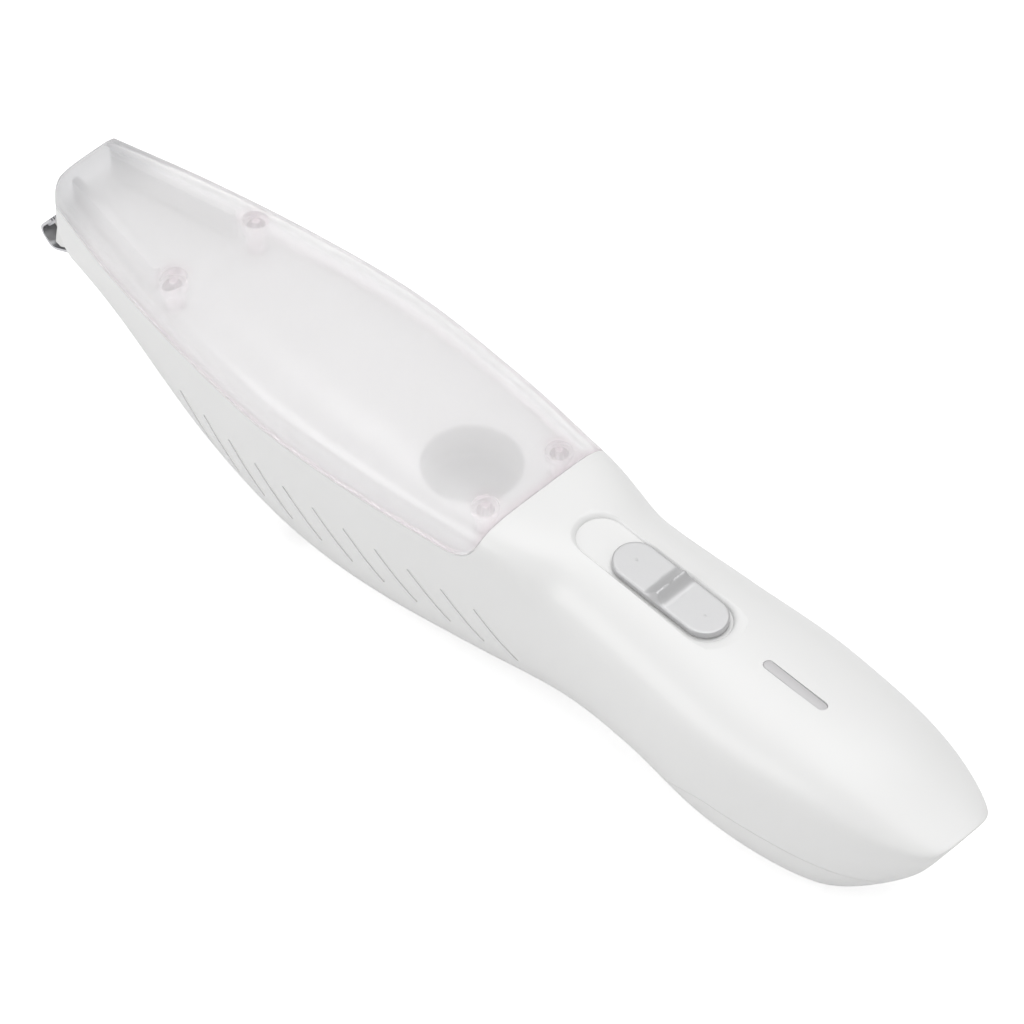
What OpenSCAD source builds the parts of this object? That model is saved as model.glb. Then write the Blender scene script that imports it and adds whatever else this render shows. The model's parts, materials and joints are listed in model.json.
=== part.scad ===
// Cordless pet hair trimmer with a suction chamber.
// X runs from the tail (-) to the blade (+), Y across, Z up.
// The underside rests on Z = 0 and the origin is below the middle of the whole tool.

/* [Body] */
// Greatest width of the body, across the hair chamber
body_width = 33.5; // [32:0.5:35]
// Wall thickness of the two housing shells
wall = 1.8; // [1.6:0.1:2]
// Wall thickness of the frosted cover
cover_wall = 1.4; // [1.2:0.1:1.6]
// Gap shown along every seam between shells
seam_gap = 0.2; // [0.1:0.05:0.3]
// Number of rings along the body skin
skin_rings = 38; // [30:1:48]
// Number of points round each ring of the skin
ring_points = 40; // [32:4:48]

/* [Chamber] */
// Height of the deck, where the cover meets the housing
seam_z = 28.6; // [28.2:0.1:29]
// Distance of the rear cover seam behind the middle of the tool
seam_back = 10; // [9:0.5:11]
// Radius of the cover's lower rear corner
seam_corner = 5.5; // [4:0.5:6]
// Diameter of the air intake hole in the deck
intake_d = 15.6; // [14:0.2:16]
// Depth of the intake duct below the deck
intake_depth = 6.8; // [6:0.2:7]
// Diameter of the cover's locating posts
post_d = 2.8; // [2.4:0.2:3]
/* [Grip] */
// Number of grip grooves on each side
grooves = 11; // [7:1:12]
// Spacing of the grip grooves
groove_pitch = 6.3; // [6:0.1:7]
// Depth of the grip grooves
groove_depth = 0.35; // [0.2:0.05:0.5]

/* [Switch] */
// Length of the switch cap
cap_l = 21.2; // [20:0.2:22]
// Width of the switch cap
cap_w = 7.3; // [7:0.1:7.6]
// Travel of the switch from off to on
switch_travel = 6; // [4:0.5:6.5]
// Length of the light bar
light_l = 12.2; // [11:0.2:13]
// Width of the light bar
light_w = 1.7; // [1.5:0.1:2]

/* [Drive] */
// Diameter of the blade motor
motor_d = 12; // [11:0.5:12]
// Offset of the eccentric pin from the motor axis
eccentric_r = 0.6; // [0.4:0.1:0.7]
// Diameter of the eccentric pin
pin_d = 1.6; // [1.4:0.1:1.8]
// Diameter of the fan wheel
fan_d = 20; // [18:0.5:20.5]
// Number of fan blades
fan_blades = 11; // [7:1:13]
// Number of comb teeth on the fixed blade
comb_teeth = 12; // [8:1:14]
// Width of the fixed blade
blade_w = 9; // [8.6:0.1:9.2]

/* [Battery] */
// Diameter of the battery cell
cell_d = 14; // [13.5:0.5:14]
// Length of the battery cell
cell_l = 49; // [45:1:49]

/* [Hidden] */
$fn = 48;
eps = 0.01;

// ---- Body skin: smooth curves through a few stations, [x, value] ----
tail_x = -96;
nose_x = 90;
tail_round_x = -74;
half_width_at = [
  [-90, 9.5], [-80, 12], [-70, 13.8], [-56, 15], [-40, 14], [-24, 13],
  [-8, 14.25], [12, 16.25], [32, 16.75], [52, 14.5], [72, 10.8], [90, 6.2]
];
bottom_at = [
  [-90, 10.6], [-72, 1.2], [-54, 0.1], [-38, 3], [-24, 3.5],
  [-4, 1.5], [22, -0.5], [48, 4.5], [72, 14.5], [90, 15]
];
widest_at = [[-88, 25.5], [-56, 23], [-24, 24.5], [10, 28], [50, 29], [90, 29.5]];
top_at = [[-90, 29], [-76, 31.7], [-60, 32.5], [-34, 33.7], [-9, 35], [40, 36.5], [90, 36]];
width_scale = body_width / 33.5;

function segment(p, x, i = 0) = (i >= len(p) - 2 || x < p[i + 1][0]) ? i : segment(p, x, i + 1);
function slope_at(p, i) =
  let (a = max(i - 1, 0), b = min(i + 1, len(p) - 1))
  (p[b][1] - p[a][1]) / (p[b][0] - p[a][0]);
// Cubic through the stations, with the slope of the chord at each one
function smooth(p, x) =
  let (i = segment(p, x), h = p[i + 1][0] - p[i][0], t = (x - p[i][0]) / h)
  (2 * t ^ 3 - 3 * t ^ 2 + 1) * p[i][1] + (t ^ 3 - 2 * t ^ 2 + t) * h * slope_at(p, i)
  + (3 * t ^ 2 - 2 * t ^ 3) * p[i + 1][1] + (t ^ 3 - t ^ 2) * h * slope_at(p, i + 1);
// 0 to 1 between a and b, with level ends
function ease(a, b, x) = let (t = min(max((x - a) / (b - a), 0), 1)) t * t * (3 - 2 * t);
function signed_pow(v, e) = sign(v) * abs(v) ^ e;
// How far a curve still stands open at x, as the tail rounds off
function tail_close(x, end, power) =
  let (u = min(max((tail_round_x - x) / (tail_round_x - end), 0), 1))
  (1 - u ^ power) ^ (1 / power);

function body_half_width(x, inset = 0) =
  (smooth(half_width_at, x) * width_scale - inset) * tail_close(x, tail_x + inset, 3.3);
function body_mid(x) = smooth(widest_at, x);
function body_top(x, inset = 0) =
  body_mid(x) + (smooth(top_at, x) - inset - body_mid(x)) * tail_close(x, tail_x + inset, 2.5);
function body_bottom(x, inset = 0) =
  body_mid(x) - (body_mid(x) - smooth(bottom_at, x) - inset) * tail_close(x, tail_x + inset, 1.7);
// A rounded box above the widest line, a fuller or rounder keel below it
function top_power(x) = 2.4 + 2.6 * ease(-24, -10, x) - 0.9 * ease(-2, 16, x);
function bottom_power(x) = 2.2 + ease(-43, 5, x);
function skin_point(x, a, inset) =
  let (power = sin(a) >= 0 ? top_power(x) : bottom_power(x), mid = body_mid(x))
  let (rise = sin(a) >= 0 ? body_top(x, inset) - mid : mid - body_bottom(x, inset))
  [
    x,
    body_half_width(x, inset) * signed_pow(cos(a), 2 / power),
    mid + rise * signed_pow(sin(a), 2 / power)
  ];

// The whole body skin as one closed solid, shrunk by inset
module body_form(inset = 0, front = nose_x) {
  start = tail_x + inset;
  xs = [for (i = [1:skin_rings]) start + (front - start) * (1 - cos(90 * i / skin_rings))];
  rings = [for (x = xs) for (j = [0:ring_points - 1]) skin_point(x, 360 * j / ring_points, inset)];
  pole = len(rings);
  last = (skin_rings - 1) * ring_points;
  side = [
    for (i = [0:skin_rings - 2]) for (j = [0:ring_points - 1])
      let (k = (j + 1) % ring_points, a = i * ring_points, b = a + ring_points)
        [a + j, b + j, b + k, a + k]
  ];
  tail = [for (j = [0:ring_points - 1]) [pole, j, (j + 1) % ring_points]];
  face = [for (j = [ring_points - 1:-1:0]) last + j];
  polyhedron(concat(rings, [[start, 0, body_mid(start)]]), concat(side, tail, [face]), convexity = 6);
}

// A shell's smooth skin is kept as one mesh
module as_one_mesh() {
  resize([0, 0, 0]) children();
}

// An outline drawn in X and Z, pushed out across the body
module across(width) {
  rotate([90, 0, 0]) linear_extrude(width, center = true) children();
}

span = 60;
// Side view of everything that belongs to the cover
module cover_outline(grow = 0) {
  r = seam_corner - grow;
  x0 = -seam_back - grow;
  z0 = seam_z - grow;
  polygon(concat(
    [[x0, 45], [x0, z0 + r]],
    [for (a = [195:15:255]) [x0 + r + r * cos(a), z0 + r + r * sin(a)]],
    [[x0 + r, z0], [100, z0], [100, 45]]
  ));
}

// Side view of everything that belongs to the lower shell
part_tail_z = 15;
part_belly_z = 7;
lower_front_x = 50;
module lower_outline(gap = 0) {
  polygon(concat(
    [[-100, -5], [-100, part_tail_z - gap], [-58, part_tail_z - gap]],
    [for (x = [-56:2:-40]) [x, part_tail_z - gap - (part_tail_z - part_belly_z) * ease(-58, -38, x)]],
    [[-38, part_belly_z - gap], [lower_front_x - gap, part_belly_z - gap], [lower_front_x - gap, -5]]
  ));
}

// Side view of the two ends: nozzle face leaning back, nose cut away above the blade,
// and a flat panel for the charging port at the tail
nose_cut_x = 85.4;
nose_cut_z = 17;
tail_panel_x = -89.8;
tail_panel_slope = 0.577;
module end_outline() {
  polygon([
    [tail_panel_x + port_z * tail_panel_slope, 0], [82, 0], [84.6, 13], [nose_cut_x, nose_cut_z],
    [88.4, 23.5], [88.4, 29], [88.2, 32], [87.8, 35], [87.2, 37], [86, 40],
    [tail_panel_x + (port_z - 40) * tail_panel_slope, 40]
  ]);
}

module outer_body() {
  intersection() {
    body_form();
    across(span) end_outline();
  }
}

// ---- Places ----
post_front = [59.5, 8.5];
post_rear = [-6, 7.7];
intake_x = 4.5;
switch_x = -36.3;
handle_slope = 3.7;
recess_front_x = -18.6;
recess_rear_x = -47.5;
recess_w = 8.2;
recess_depth = 1;
deck_t = 1.6;
filter_z = seam_z - deck_t - intake_depth;
light_x = -61.2;
// Housing screws: [x, y, underside of the head]
screw_spots = [[32, 9.6, 3.4], [32, -9.6, 3.4], [-20, 0, 4.3]];
screw_r = 1;
motor_z = 19.6;
motor_x = [37, 57];
cell_z = 13;
cell_x = -77;
board_z = 24;
board_t = 1.2;
board_spots = [[-27, 6.4], [-70, 6.4]];
nose_wall_x = 82.6;
holder_w = 9.6;
holder_back_x = 78;
holder_low_z = 17.2;
port_z = 17;
port_w = 6.6;
port_h = 2.3;

// A flat-sided bar with round ends, lying along X
module stadium(l, w, h) {
  hull() {
    for (s = [-1, 1]) translate([s * (l - w) / 2, 0, 0]) cylinder(d = w, h = h, $fn = 32);
  }
}

module at_board_screws() {
  for (p = board_spots) translate([p[0], p[1], 0]) children();
}

module at_posts() {
  for (p = [post_front, post_rear]) for (s = [-1, 1]) translate([p[0], s * p[1], 0]) children();
}

module at_screws() {
  for (p = screw_spots) translate(p) children();
}

// Puts children on the sloping top of the handle, z = 0 at its surface
module on_handle(x, z) {
  translate([x, 0, z]) rotate([0, -handle_slope, 0]) children();
}

switch_surface_z = 33.55;
light_surface_z = 32.4;
rib_t = 1.2;
rib_h = 5;

rib_front = [86, 3.9];
rib_rear = [64, 8];
// Two ribs standing on the deck, which guide hair from the nozzle mouth into the chamber
module guide_ribs() {
  color("white") for (s = [-1, 1]) hull() {
    for (p = [rib_front, rib_rear])
      translate([p[0], s * p[1], seam_z]) cylinder(d = rib_t, h = rib_h, $fn = 16);
  }
}

vents = 5;
vent_x = 14;
vent_pitch = 3;
// Slots where the fan's air leaves, between stout bars
module vent_slots() {
  for (i = [0:vents - 1]) translate([vent_x + vent_pitch * i, 0, -1]) linear_extrude(8)
    hull() for (s = [-1, 1]) translate([0, s * 5]) circle(d = 1.5, $fn = 16);
}

// Everything hollow inside the housing: the skin set in by one wall, less what stands in it
module housing_cavity() {
  difference() {
    body_form(wall, nose_x + 2);
    across(span) cover_outline(deck_t);
    translate([nose_wall_x, -20, -5]) cube([20, 40, 40]);
    translate([intake_x, 0, filter_z + 1]) cylinder(r = intake_d / 2 + 1.2, h = 20);
    on_handle(switch_x + 2, switch_surface_z) translate([0, 0, -3.4]) stadium(36, 13, 8);
    at_screws() translate([0, 0, -1]) cylinder(d = 4.6, h = 40, $fn = 24);
    at_board_screws() translate([0, 0, board_z + board_t + 0.05]) cylinder(d = 3.8, h = 20, $fn = 24);
  }
}

groove_front_x = 52.8;
groove_top = 18.9;
groove_low = 11.6;
groove_run = 6.6;
groove_w = 0.45;
// One grip groove: down the side and back towards the tail, hooked at its upper end
module grip_line(x) {
  w = groove_w;
  polygon([
    [x + 0.7, groove_top], [x - 0.1, groove_top - 0.8], [x - groove_run, groove_low],
    [x - groove_run - w, groove_low + w], [x - 0.3 - w, groove_top - 0.5 + w], [x + 0.3, groove_top + 0.4]
  ]);
}

module grip_grooves() {
  difference() {
    across(span) for (i = [0:grooves - 1]) grip_line(groove_front_x - groove_pitch * i);
    body_form(groove_depth, nose_x + 1);
  }
}

module port_opening() {
  translate([-98, 0, port_z]) rotate([0, 90, 0]) rotate([0, 0, 90])
    stadium(port_w + 0.4, port_h + 0.4, 16, $fn = 24);
}

module upper_shell() {
  difference() {
    outer_body();
    across(span) cover_outline();
    across(span) lower_outline();
    housing_cavity();
    grip_grooves();
    // intake hole
    translate([intake_x, 0, 15]) cylinder(d = intake_d, h = 20, $fn = 64);
    at_posts() translate([0, 0, seam_z - 1.2]) cylinder(d = post_d + 0.7, h = 3, $fn = 24);
    at_screws() cylinder(r = screw_r + 0.06, h = 12.5, $fn = 24);
    at_board_screws() translate([0, 0, board_z + board_t - 1]) cylinder(r = 1, h = 5, $fn = 24);
    // switch recess, its slot and the light bar's window
    on_handle((recess_front_x + recess_rear_x) / 2, switch_surface_z + 0.13)
      translate([0, 0, -recess_depth]) stadium(recess_front_x - recess_rear_x, recess_w, 5);
    on_handle(switch_x + switch_travel / 2, switch_surface_z)
      translate([0, 0, -5]) stadium(switch_travel + 9, 3, 8);
    on_handle(light_x, light_surface_z)
      translate([0, 0, -4]) stadium(light_l + 0.2, light_w + 0.2, 6);
    port_opening();
    // seat for the blade holder
    translate([holder_back_x - 0.4, -holder_w / 2 - 0.05, holder_low_z - 0.05])
      cube([16, holder_w + 0.1, 9.5]);
  }
}

module upper_housing() {
  color("white") as_one_mesh() upper_shell();
}

module lower_shell() {
  difference() {
    intersection() {
      outer_body();
      across(span) lower_outline(0.1);
      translate([-110, -30, 0]) cube([220, 60, 40]);
    }
    difference() {
      body_form(wall, nose_x + 2);
      at_screws() translate([0, 0, -4]) cylinder(d = 6.4, h = 12, $fn = 24);
    }
    at_screws() cylinder(r = screw_r + 0.2, h = 12, $fn = 24);
    at_screws() translate([0, 0, -6]) cylinder(d = 4.4, h = 7.25, $fn = 24);
    vent_slots();
    grip_grooves();
    port_opening();
  }
}

module lower_housing() {
  color("white") as_one_mesh() lower_shell();
}

module chamber_cover() {
  color([0.93, 0.92, 0.94, 0.6]) as_one_mesh() difference() {
    intersection() {
      outer_body();
      across(span) cover_outline(-seam_gap);
    }
    difference() {
      body_form(cover_wall, nose_x + 2);
      at_posts() translate([0, 0, seam_z - 2]) cylinder(d = post_d, h = 12, $fn = 24);
      at_posts() translate([0, 0, 32.4]) cylinder(d = post_d + 1.4, h = 8, $fn = 24);
    }
    at_posts() translate([0, 0, seam_z - 3]) cylinder(d = 1.2, h = 8.4, $fn = 16);
  }
}

// ---- Suction fan ----
fan_top_z = filter_z - 0.2;
fan_cav_z = 12.6;
fan_house_r = fan_d / 2 + 1.7;

module intake_filter() {
  r = intake_d / 2 - 0.15;
  color("gainsboro") translate([intake_x, 0, filter_z + 1.2]) {
    difference() {
      cylinder(r = r, h = 1.2);
      translate([0, 0, -1]) cylinder(r = r - 0.9, h = 4);
    }
    intersection() {
      cylinder(r = r - 0.5, h = 0.5);
      union() {
        for (i = [-5:5]) translate([i * 1.3 - 0.25, -10, 0]) cube([0.5, 20, 0.5]);
        for (i = [-5:5]) translate([-10, i * 1.3 - 0.25, 0]) cube([20, 0.5, 0.5]);
      }
    }
  }
}

module fan_housing() {
  color("whitesmoke") translate([intake_x, 0, 0]) difference() {
    translate([0, 0, fan_cav_z - 1]) cylinder(r = fan_house_r, h = fan_top_z - fan_cav_z + 1);
    translate([0, 0, fan_cav_z]) cylinder(r = fan_house_r - 1, h = fan_top_z - fan_cav_z - 1);
    translate([0, 0, fan_cav_z - 2]) cylinder(r = 6.5, h = 12);
    // outlet window towards the vents
    translate([6, -4, fan_cav_z]) cube([10, 8, fan_top_z - fan_cav_z - 1]);
  }
}

module fan_impeller() {
  hub_r = 2.6;
  color("dimgray") translate([intake_x, 0, fan_cav_z + 0.6]) {
    difference() {
      union() {
        cylinder(r = fan_d / 2, h = 0.8);
        cylinder(r = hub_r, h = 5);
        for (i = [0:fan_blades - 1]) rotate(360 / fan_blades * i)
          translate([hub_r - 0.3, -0.35, 0.4]) cube([fan_d / 2 - hub_r, 0.7, 4.4]);
      }
      translate([0, 0, -1]) cylinder(r = 0.75, h = 8);
    }
  }
}

module fan_shaft() {
  color("silver") translate([intake_x, 0, fan_cav_z - 1.6]) cylinder(r = 0.73, h = 6.6);
}

fan_motor_z = 4.6;
module fan_motor() {
  h = fan_cav_z - 1.05 - fan_motor_z;
  color("lightgray") translate([intake_x, 0, fan_motor_z]) difference() {
    union() {
      cylinder(d = 15, h = h);
      cylinder(r = 2.4, h = h + 0.9);
      translate([-8.4, -2.5, 1]) cube([3, 5, 3]);
    }
    translate([0, 0, h - 1.2]) cylinder(r = 0.78, h = 6);
  }
}

// ---- Blade motor and drive ----
module along_x(x, r, l) {
  translate([x, 0, motor_z]) rotate([0, 90, 0]) cylinder(r = r, h = l);
}

module blade_motor() {
  color("silver") difference() {
    union() {
      along_x(motor_x[0], motor_d / 2, motor_x[1] - motor_x[0]);
      along_x(motor_x[1] - eps, 2.5, 1.2);
      for (s = [-1, 1]) translate([motor_x[0] - 1.6, s * 3 - 0.8, motor_z - 0.3]) cube([2, 1.6, 0.6]);
    }
    along_x(motor_x[1] - 6, 0.8, 20);
  }
}

module motor_sleeve() {
  color("darkgray") difference() {
    along_x(motor_x[0] + 3, motor_d / 2 + 0.75, 13);
    along_x(motor_x[0], motor_d / 2 + 0.05, 20);
  }
}

module motor_cradle() {
  color("whitesmoke") difference() {
    union() {
      for (x = [motor_x[0] + 4, motor_x[0] + 12]) translate([x, -8, 9.4]) cube([3, 16, motor_z - 9.4]);
      translate([motor_x[0] + 4, -5, 8.4]) cube([11, 10, 1.4]);
    }
    along_x(motor_x[0], motor_d / 2 + 0.85, 20);
  }
}

module motor_shaft() {
  color("silver") along_x(motor_x[1] - 5.6, 0.75, 10.4);
}

eccentric_x = motor_x[1] + 1.7;
module drive_eccentric() {
  color("black") difference() {
    union() {
      along_x(eccentric_x, 3, 3.4);
      translate([eccentric_x + 3, 0, motor_z + eccentric_r]) rotate([0, 90, 0]) cylinder(d = pin_d, h = 4.2);
    }
    along_x(eccentric_x - 1, 0.78, 4.2);
  }
}

// ---- Cutter ----
// The comb runs forward from the flange to the bend, up to the knee, then leans back to its teeth
bend = [92.3, 15.3];
knee = [94.8, 17.7];
lean = 130;
plate_l = 3.9;
steel_t = 0.45;
cut_stroke = eccentric_r;
flange_end = [86, 18.3];

// Puts children in the plate's own frame: X up the plate to the teeth, Z away from the skin side
module on_plate() {
  translate([knee[0], 0, knee[1]]) rotate([0, -lean, 0]) children();
}

// Straight teeth cut into the front edge of a plate of the given width
module tooth_gaps(count, width, depth, tip) {
  pitch = width / count;
  for (i = [1:count - 1]) translate([tip - depth, -width / 2 + i * pitch - pitch * 0.25, -2])
    cube([depth + 1, pitch * 0.5, 6]);
}

module fixed_blade() {
  rise_l = norm(knee - bend);
  rise_a = atan2(knee[1] - bend[1], knee[0] - bend[0]);
  flange_l = norm(flange_end - bend);
  flange_a = atan2(flange_end[1] - bend[1], flange_end[0] - bend[0]);
  color("silver") difference() {
    union() {
      on_plate() difference() {
        translate([0, -blade_w / 2, -steel_t]) cube([plate_l, blade_w, steel_t]);
        tooth_gaps(comb_teeth, blade_w, 1.7, plate_l);
      }
      translate([bend[0], 0, bend[1]]) rotate([0, -flange_a, 0])
        translate([0, -blade_w / 2, 0]) cube([flange_l, blade_w, steel_t]);
      translate([bend[0], 0, bend[1]]) rotate([0, -rise_a, 0])
        translate([0, -blade_w / 2, -steel_t]) cube([rise_l, blade_w, steel_t]);
      for (p = [bend, knee])
        translate([p[0], blade_w / 2, p[1]]) rotate([90, 0, 0]) cylinder(r = steel_t, h = blade_w);
    }
    blade_screw_axes() translate([0, 0, -3]) cylinder(r = 0.9, h = 8, $fn = 24);
  }
}

// The two screws stand square to the flange
module blade_screw_axes() {
  mid = (bend + flange_end) / 2;
  flange_a = atan2(flange_end[1] - bend[1], flange_end[0] - bend[0]);
  for (s = [-1, 1]) translate([mid[0] - 1, s * 3, mid[1] + 0.45]) rotate([0, -flange_a + 180, 0])
    rotate([180, 0, 0]) children();
}

module moving_blade() {
  w = blade_w - 1.8;
  color("gainsboro") on_plate() difference() {
    translate([0.9, -w / 2, 0.04]) cube([plate_l - 1.2, w, steel_t]);
    tooth_gaps(10, w, 1.5, plate_l - 0.3);
  }
}

arm_w = 3;
arm_h = 2.8;
module cutter_carrier() {
  slot_w = pin_d + 4 * cut_stroke + 0.3;
  arm_z = motor_z - 1.1;
  color("white") difference() {
    union() {
      // fork round the eccentric pin
      translate([eccentric_x + 4, -4.2, motor_z - 3.4]) cube([5.4, 8.4, 5.4]);
      // arm to the blade
      translate([eccentric_x + 6, -arm_w / 2, arm_z]) cube([26.5, arm_w, arm_h]);
      hull() {
        translate([eccentric_x + 30, -arm_w / 2, arm_z]) cube([1.5, arm_w, arm_h]);
        on_plate() translate([1.2, -arm_w / 2, 1.6]) cube([2, arm_w, 1]);
      }
      on_plate() translate([1.2, -2.6, 0.04 + steel_t]) cube([2.2, 5.2, 1.6]);
    }
    translate([eccentric_x + 3, -slot_w / 2, motor_z - eccentric_r - pin_d / 2 - 0.3])
      cube([4.6, slot_w, 2 * eccentric_r + pin_d + 8]);
  }
}

module blade_holder() {
  clear = cut_stroke + 0.3;
  color("white") difference() {
    across(holder_w) polygon([
      [holder_back_x, holder_low_z], [84.2, holder_low_z], [85.6, 19.3], [89.9, 17.3], [91, 17.6],
      [90.6, 20.5], [89.6, 24.4], [84, 26.6], [holder_back_x, 26.6]
    ]);
    // channel for the arm
    translate([70, -arm_w / 2 - clear, 17.8]) cube([30, arm_w + 2 * clear, 4]);
    translate([88, -arm_w / 2 - clear, 16.5]) cube([5, arm_w + 2 * clear, 3]);
    on_plate() translate([0.6, -2.6 - clear, -1]) cube([3.4, 5.2 + 2 * clear, 4.6]);
    on_plate() translate([-3, -6, -1]) cube([9, 12, 1.4]);
    blade_screw_axes() translate([0, 0, -4]) cylinder(r = 0.68, h = 7, $fn = 24);
    // room for the spring
    translate([79.6, -1.2, 20]) cube([6, 2.4, 5]);
  }
}

module blade_spring() {
  color("silver") {
    translate([80, -1, 24.2]) cube([5, 2, 0.25]);
    translate([84.9, -1, 22.05]) cube([0.25, 2, 2.4]);
  }
}

module blade_screws() {
  color("silver") blade_screw_axes() {
    translate([0, 0, steel_t + eps]) cylinder(r = 1.25, h = 0.6, $fn = 24);
    translate([0, 0, -2.6]) cylinder(r = 0.62, h = 3.2, $fn = 24);
  }
}

// ---- Switch, light and electronics ----
cap_rise = 0.85;
module switch_cap() {
  color("silver") on_handle(switch_x, switch_surface_z) {
    difference() {
      translate([0, 0, -0.7]) stadium(cap_l, cap_w, cap_rise + 0.7);
      translate([0, 0, -2]) cylinder(r = 0.9, h = 2, $fn = 24);
    }
    // thumb ridge: a long slope at the front, steep at the back
    rotate([90, 0, 0]) linear_extrude(cap_w - 0.5, center = true)
      polygon([[2.2, cap_rise - 0.1], [0.3, cap_rise + 1.2], [-0.3, cap_rise + 1.2], [-1.8, cap_rise - 0.1]]);
  }
}

module switch_carrier() {
  color("dimgray") on_handle(switch_x, switch_surface_z) {
    translate([-3, -1.3, -3.7]) cube([6, 2.6, 2.96]);
    translate([0, 0, -0.8]) cylinder(r = 0.86, h = 0.7, $fn = 24);
    translate([-4.6, -2.8, -5.4]) cube([9.2, 5.6, 1.8]);
    translate([-1, -1, -6.6]) cube([2, 2, 1.4]);
  }
}

module slide_switch() {
  z = board_z + board_t;
  color("silver") difference() {
    translate([switch_x - 5, -2.6, z]) cube([16, 5.2, 2.4]);
    translate([switch_x - 2, -1.3, z + 0.7]) cube([10.2, 2.6, 4]);
  }
}

module light_bar() {
  color([0.8, 0.8, 0.82, 0.8]) on_handle(light_x, light_surface_z) {
    translate([0, 0, -2.1]) stadium(light_l, light_w, 2.05);
    translate([0, 0, -2.9]) stadium(light_l + 1.6, light_w + 2.2, 0.9);
    translate([-2, -0.8, -5.4]) cube([4, 1.6, 2.6]);
  }
}

module status_led() {
  color("ivory") translate([light_x - 1.6, -0.8, board_z + board_t]) cube([3.2, 1.6, 0.9]);
}

module circuit_board() {
  color("seagreen") {
    difference() {
      translate([-75, -8, board_z]) cube([51, 16, board_t]);
      for (p = board_spots) translate([p[0], p[1], board_z - 1]) cylinder(r = 1, h = 4, $fn = 24);
    }
  }
  color("black") {
    translate([-56, -6.5, board_z + board_t]) cube([5, 4, 1.2]);
    translate([-55, 2.4, board_z + board_t]) cube([3, 3, 1]);
    translate([-49, -6, board_z + board_t]) cube([3, 1.6, 1]);
  }
}

module battery_cell() {
  color("lightblue") {
    translate([cell_x, 0, cell_z]) rotate([0, 90, 0]) cylinder(d = cell_d, h = cell_l - 1);
    translate([cell_x, 0, cell_z]) rotate([0, 90, 0]) cylinder(r = 2.6, h = cell_l);
  }
}

module battery_cradle() {
  color("whitesmoke") {
    difference() {
      for (x = [cell_x + 11, cell_x + 35])
        translate([x, 0, cell_z]) rotate([0, 90, 0]) cylinder(d = cell_d + 2, h = 4);
      translate([cell_x, 0, cell_z]) rotate([0, 90, 0]) cylinder(d = cell_d + 0.1, h = cell_l);
      translate([cell_x, -10, cell_z - 0.5]) cube([cell_l, 20, 20]);
    }
    translate([cell_x + 14, -2, cell_z - cell_d / 2 - 0.95]) cube([22, 4, 0.85]);
  }
}

module battery_tabs() {
  color("silver") {
    for (x = [cell_x - 0.35, cell_x + cell_l + 0.05])
      translate([x, -2, cell_z - 3]) cube([0.3, 4, board_z - cell_z + 2.95]);
  }
}

module port_board() {
  color("seagreen") translate([-84, -4.5, port_z - port_h / 2 - 0.95]) cube([5.4, 9, 0.9]);
}

module charging_port() {
  color("silver") translate([-88.7, 0, port_z]) rotate([0, 90, 0]) rotate([0, 0, 90]) difference() {
    linear_extrude(7) square([port_w - 1, port_h], center = true);
    translate([0, 0, -1]) linear_extrude(7) square([port_w - 1.6, port_h - 0.6], center = true);
  }
  color("black") translate([-87.6, -1.8, port_z - 0.25]) cube([5.4, 3.6, 0.5]);
}

module housing_screws() {
  color("silver") at_screws() {
    difference() {
      cylinder(r = 1.9, h = 1.2, $fn = 32);
      translate([-1.2, -0.25, -0.1]) cube([2.4, 0.5, 0.7]);
      translate([-0.25, -1.2, -0.1]) cube([0.5, 2.4, 0.7]);
    }
    translate([0, 0, 1.15]) cylinder(r = screw_r, h = 10, $fn = 32);
  }
}

module board_screws() {
  color("silver") at_board_screws() {
    translate([0, 0, board_z - 1.05]) cylinder(r = 1.7, h = 1, $fn = 32);
    translate([0, 0, board_z - 0.1]) cylinder(r = 0.94, h = 4.8, $fn = 32);
  }
}

// ---- Wires: one round strand swept along a smooth path through a few points ----
wire_sides = 8;
wire_steps = 4;
// Point t of the way from point i to the next, on a curve through all of them
function path_point(p, i, t) =
  let (a = p[max(i - 1, 0)], b = p[i], c = p[i + 1], d = p[min(i + 2, len(p) - 1)])
  0.5 * (2 * b + (c - a) * t + (2 * a - 5 * b + 4 * c - d) * t ^ 2 + (3 * b - a - 3 * c + d) * t ^ 3);
function unit(v) = v / norm(v);

module wire(points, d = 1) {
  path = concat(
    [for (i = [0:len(points) - 2]) for (k = [0:wire_steps - 1]) path_point(points, i, k / wire_steps)],
    [points[len(points) - 1]]
  );
  n = len(path);
  rings = [
    for (i = [0:n - 1])
      let (along = unit(path[min(i + 1, n - 1)] - path[max(i - 1, 0)]))
      let (side = unit(cross(along, [0.2, 1, 0.1])), up = cross(along, side))
      for (j = [0:wire_sides - 1])
        path[i] + d / 2 * (cos(360 * j / wire_sides) * side + sin(360 * j / wire_sides) * up)
  ];
  faces = [
    for (i = [0:n - 2]) for (j = [0:wire_sides - 1])
      let (k = (j + 1) % wire_sides, a = i * wire_sides, b = a + wire_sides)
        [a + j, b + j, b + k, a + k]
  ];
  first = [for (j = [0:wire_sides - 1]) j];
  last = [for (j = [wire_sides - 1:-1:0]) (n - 1) * wire_sides + j];
  polyhedron(rings, concat(faces, [first, last]), convexity = 8);
}

module motor_leads() {
  for (s = [-1, 1]) color(s > 0 ? "red" : "black")
    wire([
      [motor_x[0] - 1.8, s * 3, motor_z], [33.2, s * 3.1, motor_z + 0.4], [26, s * 10, 23.6],
      [22, s * 10.6, 23.8], [0, s * 10.6, 23.8], [-4, s * 9.6, 23.6], [-13, s * 4.2, 22.6],
      [-22, s * 4, 21.4], [-25.2, s * 4, 22.2],
      [-25.4, s * 4, board_z - 0.05]
    ]);
}

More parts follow.
